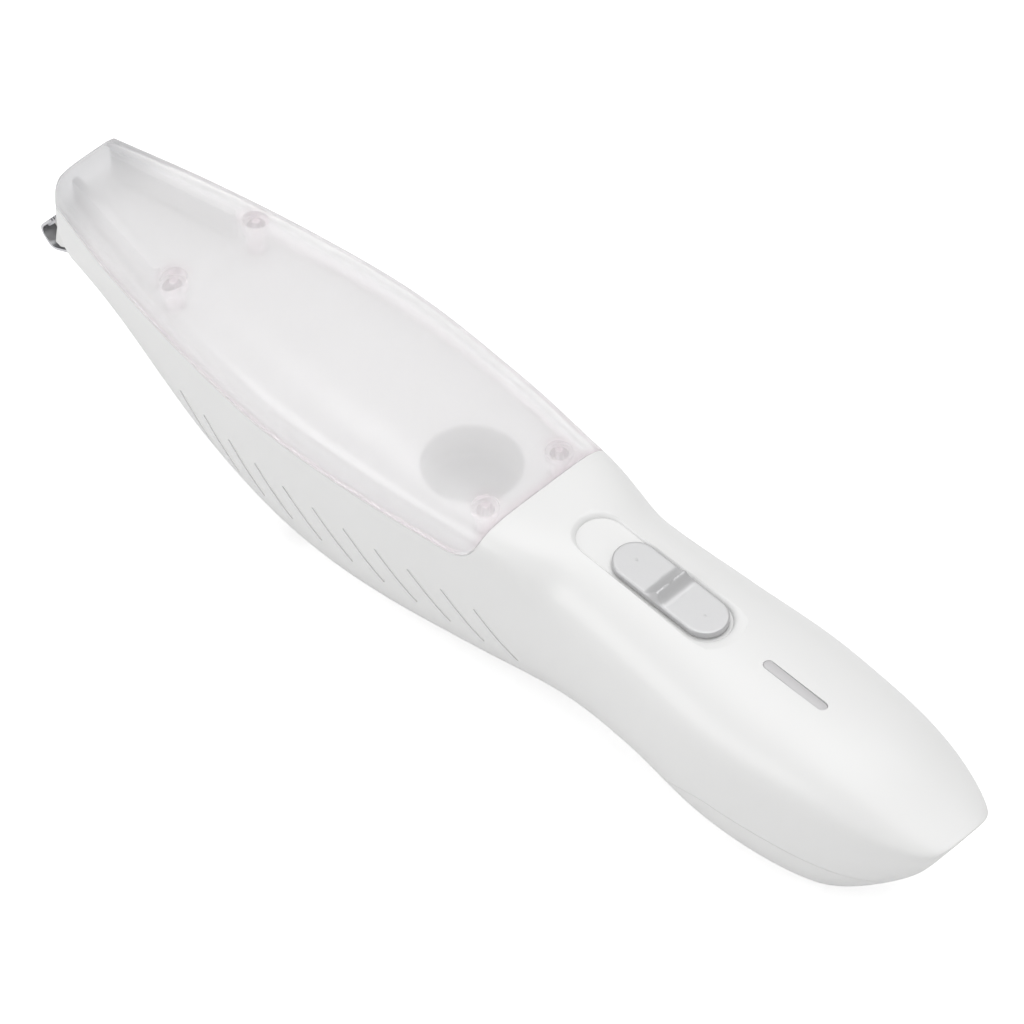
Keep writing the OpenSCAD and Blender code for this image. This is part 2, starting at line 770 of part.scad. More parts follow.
module fan_leads() {
  for (s = [-1, 1]) color(s > 0 ? "red" : "black")
    wire([
      [intake_x - 8.45, s * 1.5, 7], [-7, s * 1.6, 7.6], [-10, s * 2.5, 11], [-15, s * 3.9, 16],
      [-21, s * 3.6, 19],
      [-25.6, s * 1.8, 20.6], [-26.6, s * 1.5, 22], [-26.6, s * 1.5, board_z - 0.05]
    ]);
}

module port_leads() {
  for (s = [-1, 1]) color(s > 0 ? "red" : "black")
    wire([
      [-80.6, s * 3.4, port_z - port_h / 2 - 0.05], [-80.4, s * 3.4, 18], [-79, s * 3.4, 21],
      [-75.4, s * 3.4, 21.6], [-74.3, s * 3.4, 22.6], [-74.2, s * 3.4, board_z - 0.1]
    ]);
}

upper_housing();
lower_housing();
guide_ribs();
chamber_cover();
intake_filter();
fan_housing();
fan_impeller();
fan_shaft();
fan_motor();
blade_motor();
motor_sleeve();
motor_cradle();
motor_shaft();
drive_eccentric();
cutter_carrier();
moving_blade();
fixed_blade();
blade_holder();
blade_spring();
blade_screws();
switch_cap();
switch_carrier();
slide_switch();
light_bar();
status_led();
circuit_board();
battery_cell();
battery_cradle();
battery_tabs();
port_board();
charging_port();
housing_screws();
board_screws();
motor_leads();
fan_leads();
port_leads();
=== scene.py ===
"""Looks for a cordless pet hair trimmer with a frosted suction chamber.

X runs from the tail (-) to the blade (+), Y across, Z up, and every object is in metres.
The shells, the cover, the switch cap, the light bar and the comb blade are fine surfaces worked
out here in millimetres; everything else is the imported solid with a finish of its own.
"""
import json
import math

import bmesh
import bpy
import numpy as np
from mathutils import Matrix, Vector


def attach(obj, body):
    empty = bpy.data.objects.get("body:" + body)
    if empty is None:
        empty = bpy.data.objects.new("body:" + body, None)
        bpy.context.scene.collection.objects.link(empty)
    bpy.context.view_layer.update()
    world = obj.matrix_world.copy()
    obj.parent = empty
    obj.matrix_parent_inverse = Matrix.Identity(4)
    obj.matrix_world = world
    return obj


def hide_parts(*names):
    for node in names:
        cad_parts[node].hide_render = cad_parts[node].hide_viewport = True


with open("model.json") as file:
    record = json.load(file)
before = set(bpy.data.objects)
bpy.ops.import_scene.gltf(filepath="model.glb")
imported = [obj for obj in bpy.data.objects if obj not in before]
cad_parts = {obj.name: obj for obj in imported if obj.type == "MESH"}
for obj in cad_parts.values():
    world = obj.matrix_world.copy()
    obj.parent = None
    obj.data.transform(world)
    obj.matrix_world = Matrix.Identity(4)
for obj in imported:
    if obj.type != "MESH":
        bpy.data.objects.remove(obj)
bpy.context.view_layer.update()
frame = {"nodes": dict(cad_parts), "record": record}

MM = 0.001
SCENE = bpy.context.scene

# ---- Body skin: each curve is a cubic through a few stations, in millimetres ----
TAIL_X = -96.0
NOSE_X = 90.0
TAIL_ROUND_X = -74.0
HALF_WIDTH = [(-90, 9.5), (-80, 12), (-70, 13.8), (-56, 15), (-40, 14), (-24, 13),
              (-8, 14.25), (12, 16.25), (32, 16.75), (52, 14.5), (72, 10.8), (90, 6.2)]
BOTTOM = [(-90, 10.6), (-72, 1.2), (-54, 0.1), (-38, 3), (-24, 3.5),
          (-4, 1.5), (22, -0.5), (48, 4.5), (72, 14.5), (90, 15)]
WIDEST = [(-88, 25.5), (-56, 23), (-24, 24.5), (10, 28), (50, 29), (90, 29.5)]
TOP = [(-90, 29), (-76, 31.7), (-60, 32.5), (-34, 33.7), (-9, 35), (40, 36.5), (90, 36)]
# How squarely the tail rounds off, seen from above, over the top and under the keel
TAIL_POWER_WIDTH = 3.3
TAIL_POWER_TOP = 2.5
TAIL_POWER_KEEL = 1.7

WALL = 1.8
COVER_WALL = 1.4
SEAM_Z = 28.6
SEAM_BACK = 10.0
SEAM_CORNER = 5.5
SEAM_GAP = 0.08
DECK = 1.6
PART_TAIL_Z = 15.0
PART_BELLY_Z = 7.0
LOWER_FRONT_X = 50.0
NOSE_WALL_X = 82.6
NOSE_CUT = (85.4, 17.0)
HOLDER_W = 9.6
HOLDER_Z = (17.15, 26.65)
PORT_Z = 17.0
PORT_W = 6.6
PORT_H = 2.3
PORT_GAP = 0.4
PORT_CUT = (-98.0, -82.0)
PANEL_X = -89.9
PANEL_SLOPE = 0.5
PANEL_ROLL = 0.6

INTAKE_X = 4.5
INTAKE_R = 7.8
FILTER_Z = 20.2
POSTS = [(59.5, 8.5), (-6.0, 7.7)]
POST_R = 1.4
COLLAR_R = 2.1
COLLAR_Z = 32.4
SOCKET_R = 1.75
SOCKET_Z = (SEAM_Z - 1.2, SEAM_Z + 1.8)
BORE_R = 0.6
ABOVE_ALL = 40
SCREWS = [(32.0, 9.6, 3.4), (32.0, -9.6, 3.4), (-20.0, 0.0, 4.3)]
BOARD_SCREWS = [(-27.0, 6.4), (-70.0, 6.4)]
BOARD_TOP = 25.25
BOARD_POST_R = 1.9
SCREW_POST_R = 2.3
SCREW_TOWER_R = 3.2
SCREW_HOLE_R = 1.2
SCREW_HEAD_R = 2.2
VENTS = 5
VENT_X = 14
VENT_PITCH = 3
VENT_L = 11.5
VENT_W = 1.5

HANDLE_SLOPE = math.radians(3.7)
SWITCH_X = -36.3
SWITCH_Z = 33.55
CAP_L = 21.2
CAP_W = 7.3
RECESS_FRONT = -18.6
RECESS_BACK = -47.5
RECESS_FLOOR_W = 7.9
RECESS_DEPTH = 0.7
# The recess's soft rim: how far it spreads outside the floor, and how high it stands there
DISH = [(0, -RECESS_DEPTH), (0.02, -0.6), (0.1, -0.48), (0.25, -0.34), (0.45, -0.2),
        (0.7, -0.09), (1.0, -0.01), (1.4, 0.06), (2.0, 0.14), (3, 3)]
SLOT_L = 15
SLOT_W = 3
LIGHT_X = -61.2
LIGHT_Z = 32.4
LIGHT_L = 12.2
LIGHT_W = 1.7
LIGHT_GAP = 0.06
# The bar from its flange up to its crown, as the rim's steps are given
LIGHT_STEPS = [(0.8, -2.9), (0.8, -2.05), (0, -2.05), (0, -0.18), (-0.06, -0.06),
               (-0.2, 0.0), (-0.5, 0.03)]

SPAN = 30.0
GROOVES = 11
GROOVE_PITCH = 6.3
GROOVE_FRONT = 52.8
GROOVE_DEPTH = 0.2
SEAM_LINE_R = 0.13


def smooth(stations, x):
    """Cubic through the stations; the slope at each is that of the chord across its neighbours."""
    at = np.array(sorted(stations), float)
    sx, sv = at[:, 0], at[:, 1]
    slope = np.empty(len(sx))
    slope[1:-1] = (sv[2:] - sv[:-2]) / (sx[2:] - sx[:-2])
    slope[0] = (sv[1] - sv[0]) / (sx[1] - sx[0])
    slope[-1] = (sv[-1] - sv[-2]) / (sx[-1] - sx[-2])
    i = np.clip(np.searchsorted(sx, x) - 1, 0, len(sx) - 2)
    h = sx[i + 1] - sx[i]
    t = (x - sx[i]) / h
    start = (2 * t**3 - 3 * t**2 + 1) * sv[i] + (t**3 - 2 * t**2 + t) * h * slope[i]
    end = (3 * t**2 - 2 * t**3) * sv[i + 1] + (t**3 - t**2) * h * slope[i + 1]
    return start + end


def ease(a, b, x):
    """0 at a, 1 at b, with level ends."""
    t = np.clip((x - a) / (b - a), 0, 1)
    return t * t * (3 - 2 * t)


def tail_close(x, end, power):
    """How far a curve still stands open at x while the tail rounds off: (1 - u^p)^(1/p)."""
    u = np.clip((TAIL_ROUND_X - x) / (TAIL_ROUND_X - end), 0, 1)
    return (1 - u**power) ** (1 / power)


def body_curves(x, inset=0.0):
    """Half width, height of the widest line, top and bottom at x, for a skin shrunk by inset."""
    end = TAIL_X + inset
    wide = (smooth(HALF_WIDTH, x) - inset) * tail_close(x, end, TAIL_POWER_WIDTH)
    mid = smooth(WIDEST, x)
    top = mid + (smooth(TOP, x) - inset - mid) * tail_close(x, end, TAIL_POWER_TOP)
    bottom = mid - (mid - smooth(BOTTOM, x) - inset) * tail_close(x, end, TAIL_POWER_KEEL)
    return wide, mid, top, bottom


def top_power(x):
    """Squareness of the section above the widest line: soft handle, square back of the chamber."""
    return 2.4 + 2.6 * ease(-24, -10, x) - 0.9 * ease(-2, 16, x)


def bottom_power(x):
    """Squareness of the section below the widest line."""
    return 2.2 + ease(-43, 5, x)


def skin_points(x, angle, inset=0.0):
    """Superellipse ring at x: y = w cos^(2/n), z = mid + rise sin^(2/n).

    n and the rise differ above and below the widest line.
    """
    wide, mid, top, bottom = body_curves(x, inset)
    up = np.sin(angle) >= 0
    n = np.where(up, top_power(x), bottom_power(x))
    rise = np.where(up, top - mid, mid - bottom)
    cos, sin = np.cos(angle), np.sin(angle)
    y = wide * np.sign(cos) * np.abs(cos) ** (2 / n)
    z = mid + rise * np.sign(sin) * np.abs(sin) ** (2 / n)
    return np.stack([x + 0 * y, y, z], -1)


def press_tail(points, inset):
    """Flattens the tail against its leaning panel with a soft roll-over.

    s is the distance past the panel; it becomes -r ln(1 + e^(-s/r)), so points well inside stay put
    and points past the panel end up just on it.
    """
    lean = math.hypot(1, PANEL_SLOPE)
    plane = PANEL_X - (points[:, 2] - PORT_Z) * PANEL_SLOPE
    s = (plane - points[:, 0]) / lean + inset
    pressed = -PANEL_ROLL * np.logaddexp(0, -s / PANEL_ROLL)
    move = ((s - pressed) / lean)[:, None] * np.array([1.0, 0.0, PANEL_SLOPE])
    return points + move


def side_width(x, z):
    """Half width of the body skin at a given x and height z, solved from the superellipse."""
    wide, mid, top, bottom = body_curves(x)
    up = z >= mid
    n = np.where(up, top_power(x), bottom_power(x))
    rise = np.where(up, top - mid, mid - bottom)
    return wide * (1 - np.clip(np.abs(z - mid) / rise, 0, 1) ** n) ** (1 / n)


# ---- Making meshes ----
def solid(name, verts, faces):
    """A closed mesh object from millimetre points, with its faces turned outwards."""
    mesh = bpy.data.meshes.new(name)
    mesh.from_pydata((np.asarray(verts, float) * MM).tolist(), [], faces)
    made = bpy.data.objects.new(name, mesh)
    SCENE.collection.objects.link(made)
    tidy_mesh(made, 0)
    return made


def tidy_mesh(piece, merge):
    """Merges points closer than merge millimetres and turns every face outwards."""
    work = bmesh.new()
    work.from_mesh(piece.data)
    if merge:
        bmesh.ops.remove_doubles(work, verts=work.verts, dist=merge * MM)
    bmesh.ops.recalc_face_normals(work, faces=work.faces)
    work.to_mesh(piece.data)
    work.free()


def grid_faces(rows, columns):
    """Quads between neighbouring rows of a grid whose columns run round and close."""
    r = np.arange(rows - 1)[:, None]
    c = np.arange(columns)[None, :]
    k = (c + 1) % columns
    a, b = r * columns + c, (r + 1) * columns + c
    d, e = (r + 1) * columns + k, r * columns + k
    return np.stack([a, b, d, e], -1).reshape(-1, 4).tolist()


def lofted(name, rings):
    """A closed solid through a stack of rings (rows, points, 3) with flat ends."""
    rows, columns = rings.shape[:2]
    faces = grid_faces(rows, columns)
    faces.append(list(range(columns)))
    faces.append(list(range(rows * columns - 1, (rows - 1) * columns - 1, -1)))
    return solid(name, rings.reshape(-1, 3), faces)


def body_form(name, inset, rings, points, front=NOSE_X):
    """The whole body skin, shrunk by inset: rings crowd towards the tail as 1 - cos."""
    start = TAIL_X + inset
    t = np.arange(1, rings + 1) / rings
    x = start + (front - start) * (1 - np.cos(t * math.pi / 2))
    angle = np.arange(points) / points * 2 * math.pi
    ring = skin_points(x[:, None], angle[None, :], inset)
    pole = [[start, 0.0, float(smooth(WIDEST, np.array(start)))]]
    verts = press_tail(np.concatenate([ring.reshape(-1, 3), pole]), inset)
    faces = grid_faces(rings, points)
    faces += [[len(verts) - 1, j, (j + 1) % points] for j in range(points)]
    faces.append(list(range(rings * points - 1, (rings - 1) * points - 1, -1)))
    return solid(name, verts, faces)


def across(name, outline, half=SPAN):
    """An outline in X and Z pushed out from -half to +half across the body."""
    flat = np.asarray(outline, float)
    side = [np.stack([flat[:, 0], np.full(len(flat), y), flat[:, 1]], -1) for y in (-half, half)]
    return lofted(name, np.stack(side))


def upright(name, outline, low, high):
    """An outline in X and Y pushed up from low to high."""
    flat = np.asarray(outline, float)
    level = [np.stack([flat[:, 0], flat[:, 1], np.full(len(flat), z)], -1) for z in (low, high)]
    return lofted(name, np.stack(level))


def circle(x, y, r, n=48):
    a = np.arange(n) / n * 2 * math.pi
    return np.stack([x + r * np.cos(a), y + r * np.sin(a)], -1)


def rectangle(x0, x1, y0, y1):
    return [(x0, y0), (x1, y0), (x1, y1), (x0, y1)]


def stadium(length, width, n=96):
    """A bar with round ends: n points, spaced evenly along its two straights and two half circles."""
    r = width / 2
    straight = length - width
    around = 2 * straight + 2 * math.pi * r
    s = np.arange(n) / n * around
    bend = math.pi * r
    a = np.clip((s - straight) / r, 0, math.pi)
    b = np.clip((s - 2 * straight - bend) / r, 0, math.pi)
    turn = a + b
    x = straight / 2 - np.minimum(s, straight) + np.clip(s - straight - bend, 0, straight)
    return np.stack([x + r * -np.sin(turn), r * np.cos(turn)], -1)


def stacked(name, length, width, steps, x, z, slope=HANDLE_SLOPE, n=96):
    """Stadium rings of growing size, stood on the sloping handle.

    steps holds (spread, height) pairs: how far the outline grows, and how far it stands off.
    """
    rings = []
    for spread, height in steps:
        flat = stadium(length + 2 * spread, width + 2 * spread, n)
        rings.append(np.stack([flat[:, 0], flat[:, 1], np.full(n, float(height))], -1))
    return lofted(name, on_handle(np.stack(rings), x, z, slope))


def on_handle(points, x, z, slope=HANDLE_SLOPE):
    """Turns points about Y so that their X follows the sloping top of the handle, then places them."""
    px, py, pz = points[..., 0], points[..., 1], points[..., 2]
    cos, sin = math.cos(slope), math.sin(slope)
    return np.stack([x + px * cos - pz * sin, py, z + px * sin + pz * cos], -1)


def tube(name, path, radius, sides=12):
    """A round strand carried along a closed path, square to the path at every point."""
    path = np.asarray(path, float)
    along = np.roll(path, -1, 0) - np.roll(path, 1, 0)
    along /= np.linalg.norm(along, axis=1, keepdims=True)
    out = path - np.array([0.0, 0.0, 20.0])
    out[:, 0] = 0
    side = np.cross(along, out)
    side /= np.linalg.norm(side, axis=1, keepdims=True)
    up = np.cross(side, along)
    a = np.arange(sides) / sides * 2 * math.pi
    ring = side[:, None] * np.cos(a)[None, :, None] + up[:, None] * np.sin(a)[None, :, None]
    rings = path[:, None] + radius * ring
    rows = np.concatenate([rings, rings[:1]])
    faces = [[v % (len(path) * sides) for v in face] for face in grid_faces(len(rows), sides)]
    return solid(name, rings.reshape(-1, 3), faces)


def combine(target, tools, operation="DIFFERENCE"):
    """Cuts the tools from the target, or joins or intersects them, and keeps only the result."""
    for tool in tools:
        step = target.modifiers.new("step", "BOOLEAN")
        step.solver = "MANIFOLD"
        step.operation = operation
        step.object = tool
        graph = bpy.context.evaluated_depsgraph_get()
        result = bpy.data.meshes.new_from_object(target.evaluated_get(graph))
        target.modifiers.clear()
        target.data = result
        bpy.data.objects.remove(tool)
    return target


def copy_of(source, name):
    made = source.copy()
    made.data = source.data.copy()
    made.name = name
    SCENE.collection.objects.link(made)
    return made


def smooth_shading(piece, degrees=32):
    piece.data.shade_smooth()
    piece.data.set_sharp_from_angle(angle=math.radians(degrees))


# ---- Outlines seen from the side ----
def cover_outline(grow=0.0):
    """Everything above the cover seam: level, then a quarter round up to the rear edge."""
    r = SEAM_CORNER - grow
    x0, z0 = -SEAM_BACK - grow, SEAM_Z - grow
    turn = np.radians(np.arange(186, 265, 6))
    corner = [(x0 + r + r * math.cos(a), z0 + r + r * math.sin(a)) for a in turn]
    return [(x0, 45), (x0, z0 + r), *corner, (x0 + r, z0), (100, z0), (100, 45)]


def part_height(x):
    """Height of the seam between the two shells: high at the tail, low under the belly."""
    return PART_TAIL_Z - (PART_TAIL_Z - PART_BELLY_Z) * ease(-58, -38, x)


def lower_outline(gap=0.0):
    x = np.arange(-58, -37, 1.0)
    fall = list(zip(x, part_height(x) - gap))
    front = LOWER_FRONT_X - gap
    return [(-100, -5), (-100, PART_TAIL_Z - gap), *fall, (front, PART_BELLY_Z - gap), (front, -5)]


def end_outline():
    """The nozzle face leans back, and the nose is cut away over the blade."""
    return [(-110, 0), (82, 0), (84.6, 13), NOSE_CUT, (88.4, 23.5), (88.4, 29),
            (88.2, 32), (87.8, 35), (87.2, 37), (86, 40), (-110, 40)]


def groove_outline(x):
    """A thin slanting line with a hook at its upper end."""
    w = 0.45
    return [(x + 0.7, 18.9), (x - 0.1, 18.1), (x - 6.6, 11.6), (x - 6.6 - w, 11.6 + w),
            (x - 0.3 - w, 18.4 + w), (x + 0.3, 19.3)]


def seam_path():
    """The closed line of the cover seam on the skin.

    It runs back along one side, round the corner, over the top and forward along the other side, and
    closes across the nose. Over the top z = mid + rise (1 - |y / w|^n)^(1/n).
    """
    x = np.linspace(NOSE_X + 2, -SEAM_BACK + SEAM_CORNER, 160)
    level = np.stack([x, np.full(len(x), SEAM_Z)], -1)
    turn = np.radians(np.linspace(270, 180, 16))
    corner = np.stack([-SEAM_BACK + SEAM_CORNER * (1 + np.cos(turn)),
                       SEAM_Z + SEAM_CORNER * (1 + np.sin(turn))], -1)
    line = np.concatenate([level, corner[1:]])
    left = np.stack([line[:, 0], side_width(line[:, 0], line[:, 1]), line[:, 1]], -1)
    last_y = left[-1, 1]
    wide, mid, top, _ = body_curves(np.array(-SEAM_BACK))
    y = np.linspace(last_y, -last_y, 60)[1:-1]
    n = top_power(np.array(-SEAM_BACK))
    z = mid + (top - mid) * (1 - np.abs(y / wide) ** n) ** (1 / n)
    over = np.stack([np.full(len(y), -SEAM_BACK), y, z], -1)
    right = left[::-1] * np.array([1, -1, 1])
    front_y = left[0, 1]
    y = np.linspace(-front_y, front_y, 30)[1:-1]
    front = np.stack([np.full(len(y), NOSE_X + 2), y, np.full(len(y), SEAM_Z)], -1)
    return np.concatenate([left, over, right, front])


# ---- Shells ----
def screw_posts(radius, low, high):
    """An upright round piece at each housing screw, low and high counted from its seat."""
    return [upright("post", circle(x, y, radius, 32), z + low, z + high) for x, y, z in SCREWS]


def at_posts(name, radius, low, high, n):
    """An upright round piece at each of the cover's four pins."""
    return [upright(name, circle(x, side * y, radius, n), low, high)
            for x, y in POSTS for side in (-1, 1)]


def port_opening():
    """The charging slot, pushed through the tail along X."""
    flat = stadium(PORT_W + PORT_GAP, PORT_H + PORT_GAP, 64)
    rings = [np.stack([np.full(len(flat), x), flat[:, 0], PORT_Z + flat[:, 1]], -1)
             for x in PORT_CUT]
    return lofted("port_opening", np.stack(rings))


def grip_grooves():
    """Slanting bars across the body, less the body shrunk by the groove's depth."""
    bars = [across(f"groove_{i}", groove_outline(GROOVE_FRONT - GROOVE_PITCH * i))
            for i in range(GROOVES)]
    inner = body_form("inner", GROOVE_DEPTH, 120, 96, NOSE_X + 1)
    first = combine(bars[0], bars[1:], "UNION")
    return combine(first, [inner])


def vent_outline(x):
    """A vent slot that runs across the body."""
    flat = stadium(VENT_L, VENT_W, 40)
    return np.stack([x + flat[:, 1], -flat[:, 0]], -1)


def make_cavity(hollow):
    """Room inside the upper housing: the hollow less the deck, duct, nose wall, roof pad and posts."""
    cavity = copy_of(hollow, "cavity")
    roof_pad = stacked("roof_pad", 36, 13, [(0, -3.4), (0, 5)], SWITCH_X + 2, SWITCH_Z)
    return combine(cavity, [
        across("deck", cover_outline(DECK)),
        across("nose_wall", [(NOSE_WALL_X, -5), (102, -5), (102, 35), (NOSE_WALL_X, 35)]),
        upright("duct", circle(INTAKE_X, 0, INTAKE_R + 1.2, 64), FILTER_Z + 1, FILTER_Z + 21),
        roof_pad,
        *screw_posts(SCREW_POST_R, -1, 39),
        *[upright("post", circle(x, y, BOARD_POST_R, 32), BOARD_TOP, BOARD_TOP + 20)
          for x, y in BOARD_SCREWS],
    ])


def make_upper(body, hollow, seam):
    """Upper housing: the body below the cover seam and above the lower one, hollowed and opened."""
    upper = copy_of(body, "upper_shell")
    cavity = make_cavity(hollow)
    recess_l = RECESS_FRONT - RECESS_BACK
    recess_mid = (RECESS_FRONT + RECESS_BACK) / 2
    recess = stacked("recess", recess_l, RECESS_FLOOR_W, DISH, recess_mid, SWITCH_Z + 0.1)
    seat = rectangle(NOSE_WALL_X - 1, NOSE_WALL_X + 11, *HOLDER_Z)
    return combine(upper, [
        across("cover_side", cover_outline()),
        across("lower_side", lower_outline()),
        cavity,
        grip_grooves(),
        upright("intake", circle(INTAKE_X, 0, INTAKE_R, 128), 15, 35),
        *at_posts("socket", SOCKET_R, *SOCKET_Z, 32),
        recess,
        stacked("slot", SLOT_L, SLOT_W, [(0, -5), (0, 3)], SWITCH_X + 3, SWITCH_Z),
        stacked("window", LIGHT_L + LIGHT_GAP, LIGHT_W + LIGHT_GAP, [(0, -4), (0, 2)],
                LIGHT_X, LIGHT_Z),
        port_opening(),
        across("holder_seat", seat, HOLDER_W / 2 + 0.05),
        copy_of(seam, "seam_cut"),
    ])


def make_lower(body, hollow):
    """Lower housing: a pan with flat feet, screw towers and vents."""
    lower = copy_of(body, "lower_shell")
    combine(lower, [across("below", lower_outline(0.1))], "INTERSECT")
    below_floor = across("floor_cut", rectangle(-110, 110, -20, 0))
    combine(hollow, screw_posts(SCREW_TOWER_R, -4, 8))
    return combine(lower, [
        below_floor,
        hollow,
        *screw_posts(SCREW_HOLE_R, 0, 12),
        *screw_posts(SCREW_HEAD_R, -6, 1.25),
        *[upright("vent", vent_outline(VENT_X + VENT_PITCH * i), -1, 7) for i in range(VENTS)],
        grip_grooves(),
        port_opening(),
    ])


def make_cover(cover, seam):
    """Frosted cover: the body above the seam, hollowed round four pins with collars and bores."""
    cover.name = "frosted_cover"
    combine(cover, [across("above", cover_outline(-SEAM_GAP))], "INTERSECT")
    inside = body_form("inside", COVER_WALL, 150, 128, NOSE_X + 2)
    pins = at_posts("pin", POST_R, SEAM_Z - 2, ABOVE_ALL, 40)
    collars = at_posts("collar", COLLAR_R, COLLAR_Z, ABOVE_ALL, 48)
    bores = at_posts("bore", BORE_R, SEAM_Z - 3, COLLAR_Z + 1.6, 24)
    combine(inside, pins + collars)
    return combine(cover, [inside, *bores, seam])


def make_shells():
    """Outer body once, then cut into upper housing, lower housing and cover."""
    body = body_form("body", 0.0, 260, 200)
    body = combine(body, [across("ends", end_outline())], "INTERSECT")
    hollow = body_form("hollow", WALL, 110, 96, NOSE_X + 2)
    seam = tube("seam", seam_path(), SEAM_LINE_R)
    upper = make_upper(body, hollow, seam)
    lower = make_lower(body, hollow)
    return upper, lower, make_cover(body, seam)


# ---- Switch cap and light bar ----
CAP_TOP = 0.42
CAP_ROLL = 0.35
RIDGE_H = 1.25


def disc_of_rings(length, width, distances, n):
    """Stadium outlines set in from the edge by each distance, down to the middle line."""
    rings = [stadium(length - 2 * d, max(width - 2 * d, 1e-4), n) for d in distances]
    return np.stack(rings)


def make_cap():
    """Cap of the slide switch: a flat bar with a rolled edge and a thumb ridge across it.

    Height = edge roll (a quarter circle of radius CAP_ROLL) + ridge(x), which climbs in a hollow
    curve from the front to a narrow crest and drops in another hollow behind it.
    """
    roll = CAP_ROLL
    edge = roll * (1 - np.cos(np.linspace(0, math.pi / 2, 7)))
    inner = np.linspace(roll, CAP_W / 2 - 0.001, 15)[1:]
    distance = np.concatenate([edge, inner])
    n = 320
    flat = disc_of_rings(CAP_L, CAP_W, distance, n)
    d = distance[:, None]
    rise = np.where(d < roll, np.sqrt(np.clip(roll**2 - (roll - d) ** 2, 0, None)), roll) - roll
    x = flat[..., 0]
    front = np.clip((2.2 - x) / 1.9, 0, 1)
    back = np.clip((x + 2.1) / 2.0, 0, 1)
    bump = np.where(x > 0.3, front**1.6, np.where(x < -0.1, back**1.8, 1.0))
    near_edge = ease(0.0, 0.7, d)
    height = CAP_TOP + rise + RIDGE_H * bump * near_edge
    upper = np.stack([x, flat[..., 1], height], -1)
    skirt = np.stack([flat[0, :, 0], flat[0, :, 1], np.full(n, -0.5)], -1)[None]
    rings = np.concatenate([skirt, upper])
    made = lofted("slider_cap", on_handle(rings, SWITCH_X, SWITCH_Z))
    tidy_mesh(made, 0.02)
    return made


def make_light_bar():
    """Translucent bar, flush with the handle and slightly crowned, on a wider flange."""
    return stacked("handle_light", LIGHT_L, LIGHT_W, LIGHT_STEPS, LIGHT_X, LIGHT_Z, n=120)


# ---- Comb blade ----
FLANGE_END = np.array([86.0, 18.3])
BEND = np.array([92.3, 15.3])
KNEE = np.array([94.8, 17.7])
LEAN = math.radians(130)
PLATE_L = 3.9
STEEL = 0.45
BLADE_W = 9.0
TEETH = 20
TOOTH_L = 1.5
GAP_SHARE = 0.24
HOLE_R = 0.9
HOLE_Y = 3


def rounded_corner(before, corner, after, cut, steps=9):
    """A quadratic curve that leaves the first leg and joins the second, each cut short of the corner."""
    a = corner + (before - corner) / np.linalg.norm(before - corner) * cut
    b = corner + (after - corner) / np.linalg.norm(after - corner) * cut
    t = np.linspace(0, 1, steps)[:, None]
    return (1 - t) ** 2 * a + 2 * t * (1 - t) * corner + t**2 * b


def make_comb():
    """Steel strip bent twice: out along the flange, up to the knee and back to a row of fine teeth."""
    v = np.array([math.cos(LEAN), math.sin(LEAN)])
    tip = KNEE + PLATE_L * v
    line = np.concatenate([[FLANGE_END], rounded_corner(FLANGE_END, BEND, KNEE, 1.2),
                           rounded_corner(BEND, KNEE, tip, 1.6), [tip]])
    along = np.gradient(line, axis=0)
    along /= np.linalg.norm(along, axis=1, keepdims=True)
    normal = np.stack([along[:, 1], -along[:, 0]], -1)
    outline = np.concatenate([line, (line + normal * STEEL)[::-1]])
    strip = across("comb_blade", outline, BLADE_W / 2)
    u = (BEND - FLANGE_END) / np.linalg.norm(BEND - FLANGE_END)
    mid = (BEND + FLANGE_END) / 2
    flange = math.atan2(u[1], u[0])
    pitch = BLADE_W / TEETH
    gaps = []
    for i in range(1, TEETH):
        y = -BLADE_W / 2 + i * pitch
        gaps.append(tooth_gap(tip, v, y, pitch * GAP_SHARE, TOOTH_L))
    combine(strip, gaps)
    for side in (-1, 1):
        combine(strip, [flange_hole(mid, flange, side * HOLE_Y)])
    return strip


def flange_hole(mid, lean, y):
    """A round screw hole, pushed through square to the leaning flange."""
    k = np.arange(24) / 24 * 2 * math.pi
    ends = [np.stack([mid[0] - 1 + HOLE_R * np.cos(k) - h * math.sin(lean), y + HOLE_R * np.sin(k),
                      mid[1] + STEEL + h * math.cos(lean) + 0 * k], -1) for h in (-4, 4)]
    return lofted("hole", np.stack(ends))


def tooth_gap(tip, direction, y, half, depth):
    """A slot with a pointed floor cut back from the strip's end."""
    square = np.array([-direction[1], direction[0]])
    a = tip - direction * depth
    deep = a - direction * 0.25
    end = tip + direction
    flat = [(a, -half), (deep, 0), (a, half), (end, half * 1.25), (end, -half * 1.25)]
    rings = []
    for shift in (-2, 2):
        rings.append([[p[0] + square[0] * shift, y + w, p[1] + square[1] * shift] for p, w in flat])
    return lofted("gap", np.array(rings))


# ---- Finishes: effects shared by several materials ----
def add(tree, kind, inputs=None, **settings):
    """A node of one kind; inputs are values or the outputs of other nodes."""
    made = tree.nodes.new(kind)
    for key, value in settings.items():
        setattr(made, key, value)
    for key, value in (inputs or {}).items():
        if isinstance(value, bpy.types.NodeSocket):
            tree.links.new(value, made.inputs[key])
        else:
            made.inputs[key].default_value = value
    return made


def new_group(name, sockets, outputs):
    tree = bpy.data.node_groups.new(name, "ShaderNodeTree")
    for label, kind, value in sockets:
        socket = tree.interface.new_socket(label, in_out="INPUT", socket_type=kind)
        socket.default_value = value
    for label, kind in outputs:
        tree.interface.new_socket(label, in_out="OUTPUT", socket_type=kind)
    return tree, tree.nodes.new("NodeGroupInput"), tree.nodes.new("NodeGroupOutput")


